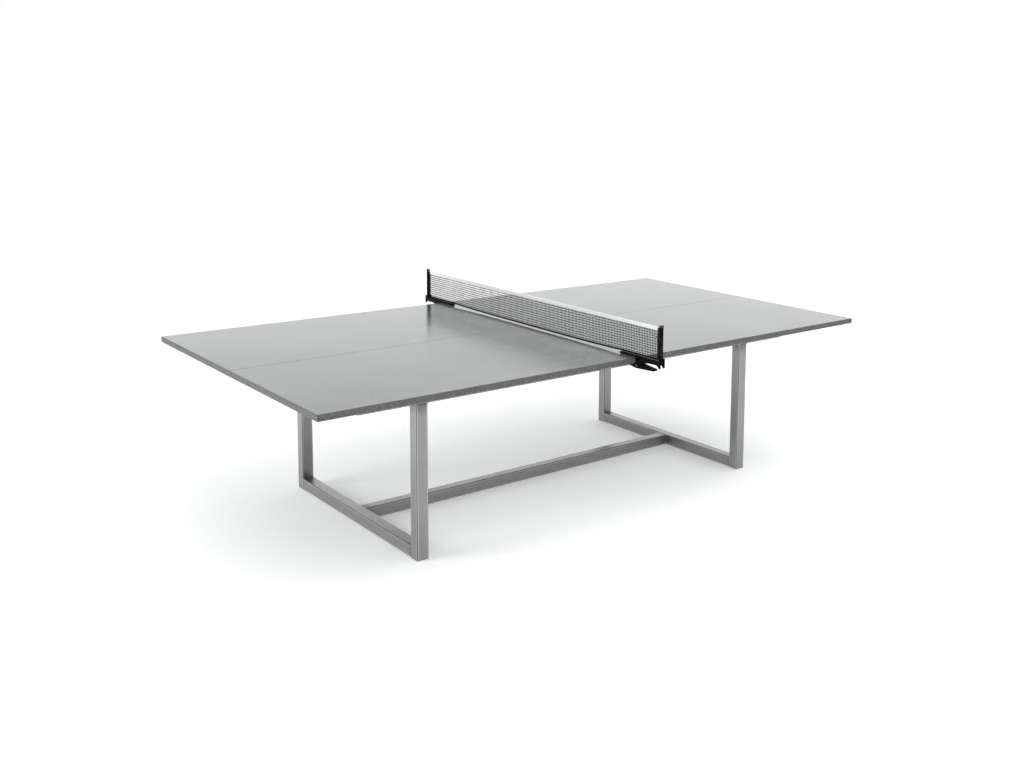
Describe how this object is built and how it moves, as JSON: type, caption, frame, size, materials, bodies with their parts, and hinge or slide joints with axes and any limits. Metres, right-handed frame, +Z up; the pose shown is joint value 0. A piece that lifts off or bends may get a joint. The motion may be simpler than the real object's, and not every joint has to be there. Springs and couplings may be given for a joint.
{
  "type": "ping pong table",
  "caption": "Concrete ping pong table on a welded frame of square steel tube, with a net held at each side by a sprung clamp.",
  "frame": {"origin": "on the floor, below the middle of the table", "axes": "+X along the table, +Y across it along the net, +Z up"},
  "size_m": [2.74, 1.8484, 0.864],
  "materials": {
    "concrete": "polished and sealed concrete, satin gloss",
    "line_inlay": "dark filler, flush",
    "brass_insert": "plain",
    "frame_steel": "ground and brushed along the tube, clear coated",
    "hardware_steel": "zinc plated",
    "rubber_pad": "matt",
    "net_thread": "knitted mesh of thin thread",
    "white_tape": "woven tape",
    "black_tape": "woven tape",
    "cord": "braided cord",
    "sleeve_cloth": "woven cloth",
    "rod_plastic": "satin",
    "post_paint": "black powder coat",
    "cap_plastic": "satin",
    "clamp_paint": "black powder coat",
    "spring_steel": "drawn wire"
  },
  "bodies": {
    "table": {"concrete_slab": "concrete", "centre_line": "line_inlay", "slab_inserts": "brass_insert", "front_side_beam": "frame_steel", "rear_side_beam": "frame_steel", "beam_end_caps": "frame_steel", "left_cross_member": "frame_steel", "middle_cross_member": "frame_steel", "right_cross_member": "frame_steel", "fixing_lugs": "frame_steel", "bearing_pads": "rubber_pad", "fixing_washers": "hardware_steel", "fixing_bolts": "hardware_steel", "left_front_leg": "frame_steel", "left_rear_leg": "frame_steel", "left_floor_rail": "frame_steel", "right_front_leg": "frame_steel", "right_rear_leg": "frame_steel", "right_floor_rail": "frame_steel", "floor_stretcher": "frame_steel", "foot_plates": "frame_steel", "foot_pads": "rubber_pad", "net_mesh": "net_thread", "net_top_tape": "white_tape", "net_bottom_tape": "black_tape", "net_cord": "cord", "near_net_sleeve": "sleeve_cloth", "near_net_rod": "rod_plastic", "near_post": "post_paint", "near_post_cap": "cap_plastic", "near_post_screw": "hardware_steel", "near_post_nut": "hardware_steel", "near_clamp_body": "clamp_paint", "near_arm_pad": "rubber_pad", "near_pivot_rivet": "hardware_steel", "near_spring": "spring_steel", "near_tie_string": "cord", "far_net_sleeve": "sleeve_cloth", "far_net_rod": "rod_plastic", "far_post": "post_paint", "far_post_cap": "cap_plastic", "far_post_screw": "hardware_steel", "far_post_nut": "hardware_steel", "far_clamp_body": "clamp_paint", "far_arm_pad": "rubber_pad", "far_pivot_rivet": "hardware_steel", "far_spring": "spring_steel"},
    "near_lever": {"near_lever": "clamp_paint", "near_jaw_pad": "rubber_pad", "near_spring_arm": "spring_steel"},
    "far_lever": {"far_lever": "clamp_paint", "far_jaw_pad": "rubber_pad", "far_spring_arm": "spring_steel"}
  },
  "joints": [
    {"name": "near_lever_hinge", "type": "hinge", "parent": "table", "child": "near_lever", "pos_m": [0, -0.772, 0.679], "axis": [-1, 0, 0], "range_deg": [0, 14], "stiffness_Nm_per_rad": 3, "springref_deg": -28.65},
    {"name": "far_lever_hinge", "type": "hinge", "parent": "table", "child": "far_lever", "pos_m": [0, 0.772, 0.679], "axis": [1, 0, 0], "range_deg": [0, 14], "stiffness_Nm_per_rad": 3, "springref_deg": -28.65}
  ]
}
